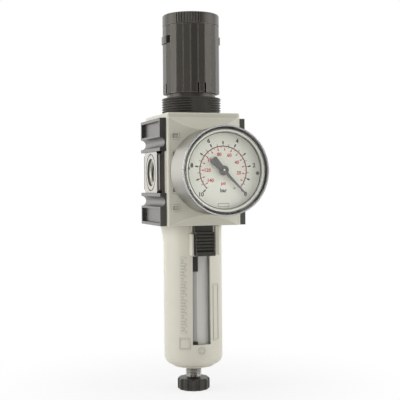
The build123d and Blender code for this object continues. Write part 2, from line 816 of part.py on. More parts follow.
def sector_gear():
    # Teeth on part of a rim, arms down to the pivot, and a hole for the link.
    first = -int(38.0 / (360.0 / sector_teeth_full))
    corners = gear_plan(sector_teeth_full, first, 3, 90.0)
    face = make_face(Polyline(*corners, (0, 0), close=True))
    window = gear_module * sector_teeth_full / 2 - 2.2
    wheel = extrude(Pos(0, 0, gear_back) * face, gear_front - gear_back)
    hollow = disc(window, gear_back, gear_front) - disc(4.6, gear_back, gear_front)
    wedge = sector_wedge(30.0, 90.0 - 15.0, 26.0, gear_back, gear_front)
    wheel = wheel - (hollow & wedge) + disc(2.0, gear_back, gear_front)
    wheel += disc(0.6, 49.2, 55.2)
    wheel += Pos(0, link_reach, 0) * disc(1.3, gear_back, gear_front)
    wheel -= Pos(0, link_reach, 0) * disc(0.5, gear_back, gear_front)
    return gauge_place * Pos(0, -sector_distance, 0) * wheel


def gauge_link():
    bar = slab((-14.8, 0.0), (-0.6, 0.6), (gear_front + 0.2, gear_front + 0.6))
    bar += disc(0.9, gear_front + 0.2, gear_front + 0.6)
    bar += disc(0.45, gear_back, gear_front + 0.2)
    return gauge_place * Pos(0, link_height, 0) * bar


def bourdon_tube():
    # A flattened tube bent to an open ring, fed from the block at its lower right end.
    ring = tube(tube_radius + 0.8, tube_radius - 0.8, 46.4, 51.0)
    ring -= sector_wedge(60.0, -102.0, 84.0, 46.4, 51.0)
    foot = Rot(0, 0, -58.0) * slab((4.0, tube_radius), (-1.6, 1.6), (46.4, 47.9))
    foot -= slab((-5.0, 5.0), (-5.0, 5.0), (40.0, 48.0))
    return gauge_place * (ring + foot)


def movement_frame():
    # Two plates on four pillars that carry the pointer shaft and the sector shaft.
    plan = slab((-7.0, 7.0), (-17.0, 4.5), (54.6, 55.4)) + slab((-7.0, 7.0), (-17.0, 4.5), (48.0, 48.9))
    for x in (-6.0, 6.0):
        for y in (-16.0, 3.5):
            plan += Pos(x, y, 0) * disc(0.8, 48.9, 54.6)
    plan -= disc(0.65, 54.0, 56.0)
    plan -= Pos(0, -sector_distance, 0) * disc(0.65, 54.0, 56.0)
    return gauge_place * plan


def rear_plug():
    plug = disc(stem_radius, 17.0, gauge_boss_face + 1.2) + disc(7.0, gauge_boss_face + 1.2, gauge_boss_face + 3.4)
    plug -= hexagon(5.0, gauge_boss_face - 2.0, gauge_boss_face + 3.4)
    return mirror(gauge_place * plug, Plane.XZ)


def rear_plug_seal():
    return mirror(gauge_place * tube(7.2, stem_radius + 0.05, gauge_boss_face, gauge_boss_face + 1.2), Plane.XZ)


def left(shape):
    return mirror(shape, Plane.YZ)


def save(name, shape):
    solids = shape if isinstance(shape, list) else [shape]
    pieces = [solid for item in solids for solid in item.solids()]
    result = pieces[0] if len(pieces) == 1 else Compound(children=pieces)
    export_step(result, os.path.join("parts", name + ".step"))


os.makedirs("parts", exist_ok=True)

save("housing", housing())
save("lid", lid())
save("lid_screws", lid_screws())
save("side_frame_right", side_frame())
save("side_frame_left", left(side_frame()))
save("port_insert_right", port_insert())
save("port_insert_left", left(port_insert()))
save("bonnet", bonnet())
save("adjusting_screw", adjusting_screw())
save("spring_nut", spring_nut())
save("main_spring", main_spring())
save("knob", knob())
save("knob_cap", knob_cap())
save("lock_bar", lock_bar())
save("diaphragm", diaphragm())
save("diaphragm_plate", diaphragm_plate())
save("valve_seat", valve_seat())
save("valve_stem", valve_stem())
save("valve_disc", valve_disc())
save("valve_spring", valve_spring())
save("filter_stud", filter_stud())
save("deflector", deflector())
save("filter_element", filter_element())
save("baffle", baffle())
save("baffle_nut", baffle_nut())
save("bowl", bowl())
save("bowl_seal", bowl_seal())
save("bowl_guard", bowl_guard())
save("lock_slide", lock_slide())
save("lock_spring", lock_spring())
save("drain_body", drain_body())
save("drain_spindle", drain_spindle())
save("drain_seal", drain_seal())
save("drain_knob", drain_knob())
save("gauge_stem", gauge_stem())
save("gauge_seal", gauge_seal())
save("gauge_case", gauge_case())
save("gauge_window", gauge_window())
save("gauge_dial", gauge_dial())
save("gauge_pointer", left(gauge_pointer()))
save("pointer_pinion", left(pointer_pinion()))
save("sector_gear", left(sector_gear()))
save("gauge_link", left(gauge_link()))
save("bourdon_tube", left(bourdon_tube()))
save("movement_frame", movement_frame())
save("rear_plug", rear_plug())
save("rear_plug_seal", rear_plug_seal())
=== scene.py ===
import math

import bmesh
import bpy
from mathutils import Matrix, Vector


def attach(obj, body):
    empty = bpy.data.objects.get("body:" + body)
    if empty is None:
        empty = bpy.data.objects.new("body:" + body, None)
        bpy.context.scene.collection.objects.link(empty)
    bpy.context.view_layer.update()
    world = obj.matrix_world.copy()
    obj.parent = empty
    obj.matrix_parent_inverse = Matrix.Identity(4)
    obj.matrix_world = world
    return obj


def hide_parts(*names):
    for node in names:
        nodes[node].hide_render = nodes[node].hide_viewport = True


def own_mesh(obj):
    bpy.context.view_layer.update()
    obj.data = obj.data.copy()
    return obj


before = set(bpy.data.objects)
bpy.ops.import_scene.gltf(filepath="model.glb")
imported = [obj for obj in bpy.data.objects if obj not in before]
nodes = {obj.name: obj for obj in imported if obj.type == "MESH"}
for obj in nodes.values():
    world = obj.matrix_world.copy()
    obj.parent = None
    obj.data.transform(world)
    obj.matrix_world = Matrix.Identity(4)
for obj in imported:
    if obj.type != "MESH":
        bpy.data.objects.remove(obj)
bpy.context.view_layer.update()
mm = 0.001
portHeight = -34.5   # height of the port and gauge axis, mm
print("frame loaded,", len(nodes), "nodes")


class Value:
    # A number that comes out of a node, so that shader maths reads as plain sums.
    def __init__(self, graph, socket):
        self.graph = graph
        self.socket = socket

    def __add__(self, other):
        return self.graph.maths("ADD", self, other)

    def __sub__(self, other):
        return self.graph.maths("SUBTRACT", self, other)

    def __rsub__(self, other):
        return self.graph.maths("SUBTRACT", other, self)

    def __mul__(self, other):
        return self.graph.maths("MULTIPLY", self, other)

    def __or__(self, other):
        return self.graph.maths("MAXIMUM", self, other)

    __radd__ = __add__
    __rmul__ = __mul__


class Graph:
    # A node tree, with one method for any node and short ones for what is used often.
    def __init__(self, tree):
        self.tree = tree

    def node(self, kind, settings=None, sockets=None, out=0):
        # Any node: its settings first, then a value or a link for each of its sockets.
        made = self.tree.nodes.new(kind)
        for key, value in (settings or {}).items():
            setattr(made, key, value)
        for key, value in (sockets or {}).items():
            if isinstance(value, Value):
                self.tree.links.new(value.socket, made.inputs[key])
            else:
                made.inputs[key].default_value = value
        return Value(self, made.outputs[out])

    def maths(self, operation, a, b):
        return self.node("ShaderNodeMath", {"operation": operation}, {0: a, 1: b})

    def ray(self, kind):
        return self.node("ShaderNodeLightPath", out="Is %s Ray" % kind)

    def ramp(self, value, low, high, start, end):
        # The value run from low to high, changed smoothly into start to end.
        sockets = {"Value": value, "From Min": low, "From Max": high, "To Min": start, "To Max": end}
        return self.node("ShaderNodeMapRange", {"interpolation_type": "SMOOTHSTEP"}, sockets)

    def corners(self, reach):
        # Near 0 in crevices narrower than this many millimetres, and 1 on open faces.
        return self.node("ShaderNodeAmbientOcclusion", {"samples": 6}, {"Distance": reach * mm}, out="AO")

    def blend(self, share, first, second):
        # One shader turned into another by the share.
        return self.node("ShaderNodeMixShader", None, {0: share, 1: first, 2: second})

    def place(self):
        return self.node("ShaderNodeTexCoord", out="Object")

    def axes(self, vector):
        first = self.node("ShaderNodeSeparateXYZ", None, {0: vector})
        return [Value(self, socket) for socket in first.socket.node.outputs]

    def noise(self, size, detail=2.0, rough=0.5, stretch=(1, 1, 1)):
        # Noise whose blotches are about this many millimetres wide.
        scale = [s / (size * mm) for s in stretch]
        spot = self.node("ShaderNodeVectorMath", {"operation": "MULTIPLY"}, {0: self.place(), 1: scale})
        sockets = {"Vector": spot, "Scale": 1.0, "Detail": detail, "Roughness": rough}
        return self.node("ShaderNodeTexNoise", None, sockets)

    def edges(self, reach):
        # Near 1 on outer edges within this many millimetres, and 0 on faces and in corners.
        rounded = self.node("ShaderNodeBevel", {"samples": 6}, {"Radius": reach * mm})
        normals = {0: rounded, 1: self.node("ShaderNodeNewGeometry", out="Normal")}
        same = self.node("ShaderNodeVectorMath", {"operation": "DOT_PRODUCT"}, normals, out="Value")
        bent = self.ramp(same, 0.985, 0.998, 1.0, 0.0)
        outer = self.ramp(self.corners(2 * reach), 0.8, 0.97, 0.0, 1.0)
        return bent * outer

    def between(self, low, high, share):
        # A colour between two others, each a plain colour or the result of a node.
        first, second = [color if isinstance(color, Value) else (*color, 1) for color in (low, high)]
        kinds = {"data_type": "RGBA", "clamp_factor": True}
        return self.node("ShaderNodeMix", kinds, {0: share, 6: first, 7: second}, out=2)


class Finish(Graph):
    # One material: a Principled shader whose fixed values are set on its own sockets.
    def __init__(self, name, **fixed):
        self.material = bpy.data.materials.new(name)
        self.material.use_nodes = True
        super().__init__(self.material.node_tree)
        self.shader = self.tree.nodes["Principled BSDF"]
        for key, value in fixed.items():
            self.shader.inputs[key.replace("_", " ")].default_value = value

    def feed(self, name, value):
        self.tree.links.new(value.socket, self.shader.inputs[name])
        return self

    def surface(self):
        return Value(self, self.shader.outputs[0])

    def show(self, shader):
        self.tree.links.new(shader.socket, self.tree.nodes["Material Output"].inputs[0])
        return self

    def relief(self, height, depth, strength=1.0, soften=0.0):
        # Surface relief of this depth in millimetres, over softened edges where asked.
        sockets = {"Strength": strength, "Distance": depth * mm, "Height": height}
        if soften:
            sockets["Normal"] = self.node("ShaderNodeBevel", {"samples": 4}, {"Radius": soften * mm})
        return self.feed("Normal", self.node("ShaderNodeBump", None, sockets))


# Finishes

def paintedZinc():
    # Satin paint on a casting, with painted shade in the corners and a painted highlight on the outer
    # edges; widths in mm.
    look = {"paint": (0.565, 0.55, 0.46), "corner": (0.24, 0.235, 0.20), "edge": (0.80, 0.79, 0.71),
            "cornerWidth": 1.2, "highlightReach": 0.3, "blotch": 9.0, "grain": 0.55, "depth": 0.02,
            "soften": 0.16, "rough": 0.36, "coat": 0.12, "coatRough": 0.3}
    f = Finish("paintedZinc", IOR=1.5, Coat_Weight=look["coat"], Coat_Roughness=look["coatRough"])
    blotch = f.noise(look["blotch"], 3.0)
    grain = f.noise(look["grain"], 3.0)
    # Painted shade: in crevices the paint darkens towards the corner colour.
    unshaded = f.ramp(f.corners(look["cornerWidth"]), 0.35, 0.95, 0.0, 1.0)
    paint = f.between(look["corner"], look["paint"], unshaded * (0.88 + blotch * 0.16))
    # Painted highlight: the outer edges turn towards the pale edge colour.
    f.feed("Base Color", f.between(paint, look["edge"], f.edges(look["highlightReach"]) * 0.95))
    f.feed("Roughness", look["rough"] + grain * 0.12)
    return f.relief(grain, look["depth"], 0.5, soften=look["soften"])


def mouldedPlastic(name, low, high, rough, soften=0.2, index=1.48, edgeHighlight=None, highlightWidth=0.18):
    # Where a highlight colour is given, outer edges get it as a painted highlight this many millimetres
    # wide.
    f = Finish(name, IOR=index, Specular_Tint=(1.0, 0.93, 0.82, 1))
    blotch = f.noise(6.0, 3.0)
    grain = f.noise(0.35, 2.0)
    skin = f.between(low, high, blotch)
    # Painted highlight on the outer edges.
    if edgeHighlight:
        skin = f.between(skin, edgeHighlight, f.edges(highlightWidth) * 0.8)
    f.feed("Base Color", skin)
    f.feed("Roughness", rough - 0.05 + grain * 0.14)
    return f.relief(grain, 0.025, 0.6, soften=soften)


def brightMetal(name, color, rough, grainSize, stretch=(1, 1, 1), depth=0.004, reach=0.0):
    # Plated or uncoated metal; where a reach in millimetres is given, grooves narrower than that get
    # painted shade.
    f = Finish(name, Metallic=1.0)
    grain = f.noise(grainSize, 3.0, 0.6, stretch)
    bright = 0.92 + f.noise(7.0, 2.0) * 0.08
    # Painted shade in the narrow grooves.
    if reach:
        bright = bright * f.ramp(f.corners(reach), 0.3, 0.95, 0.15, 1.0)
    f.feed("Base Color", f.between((0, 0, 0), color, bright))
    f.feed("Roughness", rough + grain * 0.08)
    return f.relief(grain, depth, 0.4, soften=0.15)


def guardPlastic():
    # Pale plastic that lets a little light in, with painted shade in its corners; widths in mm.
    look = {"plastic": (0.63, 0.61, 0.52), "corner": (0.30, 0.29, 0.23), "cornerWidth": 1.0,
            "blotch": 14.0, "grain": 0.5, "depth": 0.015, "soften": 0.2, "rough": 0.40}
    f = Finish("guardPlastic", IOR=1.49, Coat_Weight=0.1, Subsurface_Weight=0.12,
               Subsurface_Radius=(1.0, 0.9, 0.7), Subsurface_Scale=0.0015)
    blotch = f.noise(look["blotch"], 3.0)
    grain = f.noise(look["grain"], 2.0)
    # Painted shade: in crevices the colour darkens towards the corner colour.
    unshaded = f.ramp(f.corners(look["cornerWidth"]), 0.4, 0.95, 0.0, 1.0)
    f.feed("Base Color", f.between(look["corner"], look["plastic"], unshaded * (0.90 + blotch * 0.14)))
    f.feed("Roughness", look["rough"] + grain * 0.10)
    return f.relief(grain, look["depth"], 0.5, soften=look["soften"])


def clearPlastic(name, tint, index):
    # Clear, with a faint cloud in its tint.
    f = Finish(name, IOR=index, Transmission_Weight=1.0)
    cloud = f.noise(11.0, 2.0)
    f.feed("Base Color", f.between(tint, (1, 1, 1), cloud))
    f.feed("Roughness", 0.015 + cloud * 0.02)
    return lightThrough(f, tint)


def lightThrough(f, tint):
    # Lamps shine through it, as through thin plastic, while the eye still sees its reflections.
    clear = f.node("ShaderNodeBsdfTransparent", None, {"Color": (*tint, 1)})
    return f.show(f.blend(f.ray("Shadow") | f.ray("Diffuse"), f.surface(), clear))


def hazyPlastic():
    # The bowl: clear but milky, with darker bands painted into its colour behind the window: painted shade
    # at the left, where its thick wall darkens the view, and a painted dark reflection at the right.
    look = {"haze": (0.84, 0.82, 0.77), "band": (0.56, 0.55, 0.52), "clear": 0.52,
            "leftBand": (-2.6, -1.9), "rightBand": (4.1, 4.9)}   # where each band ends, across, mm
    f = Finish("bowlClear", IOR=1.57, Transmission_Weight=look["clear"])
    across = f.axes(f.place())[0]
    right = f.ramp(across, look["leftBand"][0] * mm, look["leftBand"][1] * mm, 0.0, 1.0)
    inside = f.ramp(across, look["rightBand"][0] * mm, look["rightBand"][1] * mm, 1.0, 0.25)
    streak = f.noise(1.6, 2.0, 0.5, (1, 1, 0.02))
    # Painted shade in the left band and a painted dark reflection in the right one.
    f.feed("Base Color", f.between(look["band"], look["haze"], right * inside * (0.72 + streak * 0.5)))
    f.feed("Roughness", 0.04 + streak * 0.08)
    return lightThrough(f, (0.93, 0.95, 0.96))


def sinteredWhite():
    # Beads pressed together, of this size and depth in mm, with painted shade in the gaps between them.
    look = {"bead": 0.6, "depth": 0.12, "top": (0.86, 0.86, 0.82), "gap": (0.62, 0.62, 0.58)}
    f = Finish("sinteredWhite", IOR=1.5, Roughness=0.75)
    beads = f.node("ShaderNodeTexVoronoi", None, {"Vector": f.place(), "Scale": 1 / (look["bead"] * mm)})
    # Painted shade: the gaps between the beads are darker.
    f.feed("Base Color", f.between(look["top"], look["gap"], beads))
    return f.relief(1 - beads, look["depth"], 0.8)


def rubber():
    f = Finish("sealRubber", IOR=1.5)
    grain = f.noise(0.3, 2.0)
    f.feed("Base Color", f.between((0.012, 0.012, 0.012), (0.03, 0.03, 0.03), grain))
    f.feed("Roughness", 0.6 + grain * 0.15)
    return f.relief(grain, 0.03, 0.5)


def printed(name, color):
    f = Finish(name, IOR=1.45)
    grain = f.noise(0.8, 2.0)
    f.feed("Base Color", f.between([c * 0.9 for c in color], color, grain))
    f.feed("Roughness", 0.5 + grain * 0.1)
    return f


finishes = {
    "housing": paintedZinc(),
    "frameBlack": mouldedPlastic("frameBlack", (0.020, 0.020, 0.021), (0.030, 0.030, 0.031), 0.36,
                                 soften=0.12, index=1.8),
    "knobBlack": mouldedPlastic("knobBlack", (0.023, 0.0215, 0.0185), (0.033, 0.031, 0.0265), 0.32,
                                edgeHighlight=(0.36, 0.34, 0.30), highlightWidth=0.3),
    "bonnetBlack": mouldedPlastic("bonnetBlack", (0.036, 0.034, 0.030), (0.050, 0.047, 0.042), 0.32,
                                  edgeHighlight=(0.15, 0.142, 0.128)),
    "slideBlack": mouldedPlastic("slideBlack", (0.025, 0.0245, 0.022), (0.036, 0.035, 0.032), 0.34,
                                 edgeHighlight=(0.15, 0.15, 0.14)),
    "innerBlack": mouldedPlastic("innerBlack", (0.010, 0.010, 0.011), (0.018, 0.018, 0.019), 0.50),
    "nickel": brightMetal("nickelPlate", (0.60, 0.59, 0.56), 0.20, 0.4, reach=0.5),
    "portNickel": brightMetal("portNickel", (0.38, 0.37, 0.33), 0.34, 1.6, depth=0.002, reach=1.4),
    "screwSteel": brightMetal("screwSteel", (0.52, 0.52, 0.53), 0.30, 0.3),
    "springSteel": brightMetal("springSteel", (0.48, 0.49, 0.51), 0.25, 0.4),
    "brass": brightMetal("machinedBrass", (0.78, 0.60, 0.30), 0.20, 0.3),
    "caseSteel": brightMetal("drawnCase", (0.32, 0.31, 0.27), 0.33, 0.5, (1, 0.08, 1)),
    "rimSteel": brightMetal("rimSteel", (0.42, 0.42, 0.41), 0.36, 0.5),
    "boreNickel": brightMetal("boreNickel", (0.20, 0.20, 0.19), 0.30, 0.4, reach=0.6),
    "rubber": rubber(),
    "stemPlastic": mouldedPlastic("stemPlastic", (0.62, 0.60, 0.52), (0.70, 0.68, 0.60), 0.45),
    "filterWhite": sinteredWhite(),
    "bowlClear": hazyPlastic(),
    "windowClear": clearPlastic("windowClear", (0.96, 0.97, 0.97), 1.49),
    "guard": guardPlastic(),
    "dialWhite": printed("dialPaint", (0.97, 0.95, 0.83)),
    "inkBlack": printed("inkBlack", (0.03, 0.03, 0.03)),
    "inkRed": printed("inkRed", (0.62, 0.06, 0.05)),
    "pointerGrey": printed("pointerPaint", (0.165, 0.16, 0.15)),
}
print("finishes made")

nodeFinish = {
    "housing": "housing", "lid": "housing", "lid_screws": "screwSteel",
    "side_frame_right": "frameBlack", "side_frame_left": "frameBlack",
    "port_insert_right": "portNickel", "port_insert_left": "portNickel",
    "bonnet": "bonnetBlack", "adjusting_screw": "screwSteel", "spring_nut": "brass",
    "main_spring": "springSteel", "knob": "knobBlack", "knob_cap": "knobBlack", "lock_bar": "knobBlack",
    "diaphragm": "rubber", "diaphragm_plate": "stemPlastic", "valve_seat": "brass", "valve_stem": "brass",
    "valve_disc": "rubber", "valve_spring": "springSteel", "filter_stud": "stemPlastic",
    "deflector": "innerBlack", "filter_element": "filterWhite", "baffle": "innerBlack",
    "baffle_nut": "stemPlastic", "bowl": "bowlClear", "bowl_seal": "rubber", "bowl_guard": "guard",
    "lock_slide": "slideBlack", "lock_spring": "springSteel", "drain_body": "nickel",
    "drain_spindle": "brass", "drain_seal": "rubber", "drain_knob": "slideBlack",
    "gauge_stem": "brass", "gauge_seal": "rubber", "gauge_case": "caseSteel",
    "gauge_window": "windowClear", "gauge_dial": "dialWhite", "gauge_pointer": "pointerGrey",
    "pointer_pinion": "brass", "sector_gear": "brass", "gauge_link": "brass", "bourdon_tube": "brass",
    "movement_frame": "brass", "rear_plug": "nickel", "rear_plug_seal": "rubber",
}
for name, node in nodes.items():
    node.data.materials.clear()
    node.data.materials.append(finishes[nodeFinish[name]].material)
print("solids finished")


# Building tools

def addPiece(name, body, verts, faces, finish, stands=(), sharp=40.0):
    # A piece from points in mm, smooth apart from edges that bend more than this many degrees.
    mesh = bpy.data.meshes.new(name)
    mesh.from_pydata([Vector(v) * mm for v in verts], [], faces)
    made = bmesh.new()
    made.from_mesh(mesh)
    bmesh.ops.recalc_face_normals(made, faces=made.faces)
    for face in made.faces:
        face.smooth = True
    for edge in made.edges:
        edge.smooth = len(edge.link_faces) < 2 or edge.calc_face_angle(0.0) < math.radians(sharp)
    made.to_mesh(mesh)
    made.free()
    mesh.materials.append(finishes[finish].material)
    piece = bpy.data.objects.new(name, mesh)
    bpy.context.scene.collection.objects.link(piece)
    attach(piece, body)
    if stands:
        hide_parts(*stands)
    return piece


def threadWave(angle, height, pitch, sign=1):
    # 0 at a crest and 1 at a root of a thread that climbs one pitch a turn.
    crest, flank = 0.88, 0.76   # where the flank leaves the crest, and how far it runs
    phase = (height / pitch - sign * angle / (2 * math.pi)) % 1.0
    ramp = abs(phase - 0.5) * 2
    return min(1.0, max(0.0, (crest - ramp) / flank))


def turned(name, body, rings, steps, finish,
           shape=None, place=None, stands=(), closed=True, sharp=40.0):
    # Rings of (radius, height) joined into a skin; shape moves each point, place moves the whole.
    verts = []
    for radius, height in rings:
        for i in range(steps):
            angle = 2 * math.pi * i / steps
            point = Vector((radius * math.cos(angle), radius * math.sin(angle), height))
            if shape:
                point = shape(point, angle, radius)
            verts.append(place @ point if place else point)
    faces = []
    last = len(rings) if closed else len(rings) - 1
    for r in range(last):
        a = r * steps
        b = (r + 1) % len(rings) * steps
        for i in range(steps):
            j = (i + 1) % steps
            faces.append((a + i, a + j, b + j, b + i))
    return addPiece(name, body, verts, faces, finish, stands, sharp)


def gaugePlace(forward=0.0):
    # Drawn facing up, turned to face the front at this distance before the bowl axis.
    turn = Matrix.Rotation(math.pi / 2, 4, "X")
    return Matrix.Translation((0, 0, portHeight)) @ turn @ Matrix.Translation((0, 0, forward))


# Bonnet with the threaded panel collar

collar = {"radius": 18.0, "root": 17.05, "pitch": 1.5, "low": 0.7, "high": 9.9, "fade": 0.6, "rows": 62,
          "flat": 16.75, "top": 10.4,
          "foot": [(20.3, -6.5), (20.3, -3.0), (17.0, -3.0), (17.0, 0.0), (18.0, 0.0)],
          "neck": [(17.6, 10.2), (17.3, 10.4), (15.0, 10.4), (14.7, 10.7), (14.7, 35.5), (14.2, 36.0)],
          "inside": [(4.05, 36.0), (4.05, 33.0), (12.6, 33.0), (12.6, -4.4), (16.9, -4.4), (16.9, -6.5)]}


def collarShape(point, angle, radius):
    # The thread fades out at both ends, and the front and back are milled flat.
    c = collar
    z = point.z
    if radius == c["radius"] and c["low"] <= z <= c["high"]:
        fade = min(1.0, (z - c["low"]) / c["fade"], (c["high"] - z) / c["fade"])
        depth = (c["radius"] - c["root"]) * threadWave(angle, z, c["pitch"]) * max(0.0, fade)
        point = Vector((point.x * (radius - depth) / radius, point.y * (radius - depth) / radius, z))
    if 0 <= z <= c["top"]:
        point.y = max(-c["flat"], min(c["flat"], point.y))
    return point


def makeBonnet():
    c = collar
    rows = range(c["rows"] + 1)
    thread = [(c["radius"], c["low"] + (c["high"] - c["low"]) * i / c["rows"]) for i in rows]
    rings = c["foot"] + thread + c["neck"] + c["inside"]
    turned("bonnetBody", "housing_body", rings, 144, "bonnetBlack", collarShape,
           stands=["bonnet"])


makeBonnet()
print("bonnet made")


# Threads in the ports and on the drain stem

portThread = {"outer": 5.73, "inner": 5.1, "wall": 0.02, "pitch": 1.337, "near": 14.8, "far": 24.1,
              "fade": 0.8, "rows": 56}


def makePortThread(side):
    t = portThread
    length = t["far"] - t["near"]
    rings = [(t["outer"], t["far"])]
    rings += [(t["inner"], t["far"] - length * i / t["rows"]) for i in range(t["rows"] + 1)]
    rings += [(t["outer"], t["near"])]

    def shape(point, angle, radius):
        if radius == t["inner"]:
            share = threadWave(angle, point.z, t["pitch"], -side)
            ends = min(1.0, (point.z - t["near"]) / t["fade"], (t["far"] - point.z) / t["fade"])
            grown = t["outer"] - t["wall"] - (t["outer"] - t["inner"]) * share * ends
            point = Vector((point.x * grown / radius, point.y * grown / radius, point.z))
        return point

    turn = Matrix.Translation((0, 0, portHeight)) @ Matrix.Rotation(side * math.pi / 2, 4, "Y")
    name = "portThreadRight" if side > 0 else "portThreadLeft"
    turned(name, "housing_body", rings, 72, "boreNickel", shape, turn, sharp=60)


for side in (1, -1):
    makePortThread(side)

drainThread = {"radius": 4.86, "root": 4.3, "pitch": 0.907, "low": -158.2, "high": -151.9,
               "fade": 0.5, "rows": 56,
               "flange": [(2.2, -152.0), (2.2, -143.8), (6.0, -143.8), (6.0, -145.4), (3.95, -145.4)],
               "neck": [(3.95, -151.7), (4.5, -151.72)],
               "bore": [(4.5, -158.4), (3.4, -158.4), (3.4, -154.0), (2.2, -154.0)]}


def makeDrainStem():
    t = drainThread
    rows = range(t["rows"] + 1)
    thread = [(t["radius"], t["high"] - (t["high"] - t["low"]) * i / t["rows"]) for i in rows]
    rings = t["flange"] + t["neck"] + thread + t["bore"]

    def shape(point, angle, radius):
        if radius == t["radius"]:
            ends = min(1.0, (point.z - t["low"]) / t["fade"], (t["high"] - point.z) / t["fade"])
            cut = radius - (radius - t["root"]) * max(threadWave(angle, point.z, t["pitch"]), 1 - ends)
            point = Vector((point.x * cut / radius, point.y * cut / radius, point.z))
        return point

    turned("drainStem", "bowl_body", rings, 72, "nickel", shape, stands=["drain_body"], sharp=60)


makeDrainStem()
print("threads made")


# Dial: bar scale outside in black, psi scale inside in red, both running anticlockwise

dial = {"face": 57.0, "zero": -45.0, "sweep": 270.0, "thick": 0.04, "line": 0.26,
        "full": 10, "arc": 13.6, "arcLine": 0.34, "tick": 15.0, "dash": (14.8, 16.3), "dashLine": 3.0,
        "numberRadius": 18.3, "numberSize": 3.2,
        "psiFull": 145.04, "psiStep": 5, "psiArc": 13.3, "psiArcLine": 0.16, "psiTick": 12.5,
        "psiDash": (12.3, 11.2), "psiDashLine": 2.4, "psiNumberRadius": 9.2, "psiNumberSize": 2.6,
        "psiWord": (0, -6.9, 2.5), "barWord": (0, -10.9, 2.9), "frame": (0, -18.9, 6.4, 1.9, 0.18),
        "screws": (20.2, 1.0, {"Right": -4.0, "Left": 176.0}), "pin": (11.6, -57.0, 0.45, 0.9),
        "hub": (0.6, 59.0, 59.2)}


def dialAngle(share):
    return math.radians(dial["zero"] + dial["sweep"] * share)


def plate(verts, faces, corners):
    # A thin plate on the dial from its corners in the dial's own plane.
    start = len(verts)
    count = len(corners)
    for height in (0.0, dial["thick"]):
        verts += [(x, y, dial["face"] + height) for x, y in corners]
    faces.append(tuple(start + count + i for i in range(count)))
    faces.append(tuple(start + i for i in reversed(range(count))))
    for i in range(count):
        j = (i + 1) % count
        faces.append((start + i, start + j, start + count + j, start + count + i))


def tick(verts, faces, share, inner, outer, width):
    angle = dialAngle(share)
    along = Vector((math.cos(angle), math.sin(angle)))
    across = Vector((-along.y, along.x)) * width / 2
    near, far = along * inner, along * outer
    plate(verts, faces, [near - across, far - across, far + across, near + across])


def arc(verts, faces, first, last, inner, outer, steps):
    for i in range(steps):
        a = dialAngle(first + (last - first) * i / steps)
        b = dialAngle(first + (last - first) * (i + 1) / steps)
        corners = ((inner, a), (outer, a), (outer, b), (inner, b))
        plate(verts, faces, [(radius * math.cos(t), radius * math.sin(t)) for radius, t in corners])


def addDialMarks(name, verts, faces, finish):
    place = gaugePlace()
    addPiece(name, "housing_body", [place @ Vector(v) for v in verts], faces, finish)


def addWord(text, x, y, size, finish, name):
    # Letters as a thin mesh on the dial, centred on this spot.
    curve = bpy.data.curves.new(name, "FONT")
    curve.body = text
    curve.size = size * mm
    curve.align_x = "CENTER"
    curve.align_y = "CENTER"
    curve.extrude = dial["thick"] * mm / 2
    curve.offset = 0.03 * size * mm   # a little bolder than the font
    curve.resolution_u = 3
    made = bpy.data.objects.new(name + "Curve", curve)
    bpy.context.scene.collection.objects.link(made)
    spot = gaugePlace(dial["face"] + dial["thick"] / 2)
    spot = spot @ Matrix.Translation((x, y, 0))
    spot.translation *= mm
    bpy.context.view_layer.update()
    mesh = bpy.data.meshes.new_from_object(made)
    mesh.transform(spot)
    mesh.name = name
    bpy.data.objects.remove(made)
    piece = bpy.data.objects.new(name, mesh)
    bpy.context.scene.collection.objects.link(piece)
    mesh.materials.clear()
    mesh.materials.append(finishes[finish].material)
    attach(piece, "housing_body")


def dialPoint(radius, degrees):
    angle = math.radians(degrees)
    return radius * math.cos(angle), radius * math.sin(angle)


def barScale():
    # Thin ticks at the halves, short thick dashes at every whole bar and the empty frame below.
    d = dial
    verts, faces = [], []
    for i in range(2 * d["full"] + 1):
        share = i / (2 * d["full"])
        tick(verts, faces, share, d["arc"], d["tick"], d["line"])
        if i % 2 == 0:
            tick(verts, faces, share, *d["dash"], d["dashLine"] * d["line"])
    arc(verts, faces, 0, 1, d["arc"] - d["arcLine"] / 2, d["arc"] + d["arcLine"] / 2, 90)
    x, y, wide, tall, line = d["frame"]
    left, right, low, high = x - wide / 2, x + wide / 2, y - tall / 2, y + tall / 2
    for bottom, top in ((low, low + line), (high - line, high)):
        plate(verts, faces, [(left, bottom), (right, bottom), (right, top), (left, top)])
    for near, far in ((left, left + line), (right - line, right)):
        plate(verts, faces, [(near, low), (far, low), (far, high), (near, high)])
    addDialMarks("barScale", verts, faces, "inkBlack")
    for value in range(0, d["full"] + 1, 2):
        x, y = dialPoint(d["numberRadius"], math.degrees(dialAngle(value / d["full"])))
        addWord(str(value), x, y, d["numberSize"], "inkBlack", "barNumber%d" % value)


def psiScale():
    # The same in psi, with its dashes on the inner side.
    d = dial
    verts, faces = [], []
    for i in range(int(d["psiFull"] / d["psiStep"]) + 1):
        share = i * d["psiStep"] / d["psiFull"]
        tick(verts, faces, share, d["psiTick"], d["psiArc"], d["line"])
        if i % 2 == 0:
            tick(verts, faces, share, *d["psiDash"], d["psiDashLine"] * d["line"])
    arc(verts, faces, 0, 1, d["psiArc"] - d["psiArcLine"] / 2, d["psiArc"] + d["psiArcLine"] / 2, 90)
    addDialMarks("psiScale", verts, faces, "inkRed")
    for value in range(20, int(d["psiFull"]), 20):
        x, y = dialPoint(d["psiNumberRadius"], math.degrees(dialAngle(value / d["psiFull"])))
        addWord(str(value), x, y, d["psiNumberSize"], "inkRed", "psiNumber%d" % value)


def makeDial():
    barScale()
    psiScale()
    addWord("psi", *dial["psiWord"], "inkRed", "psiWord")
    addWord("bar", *dial["barWord"], "inkBlack", "barWord")


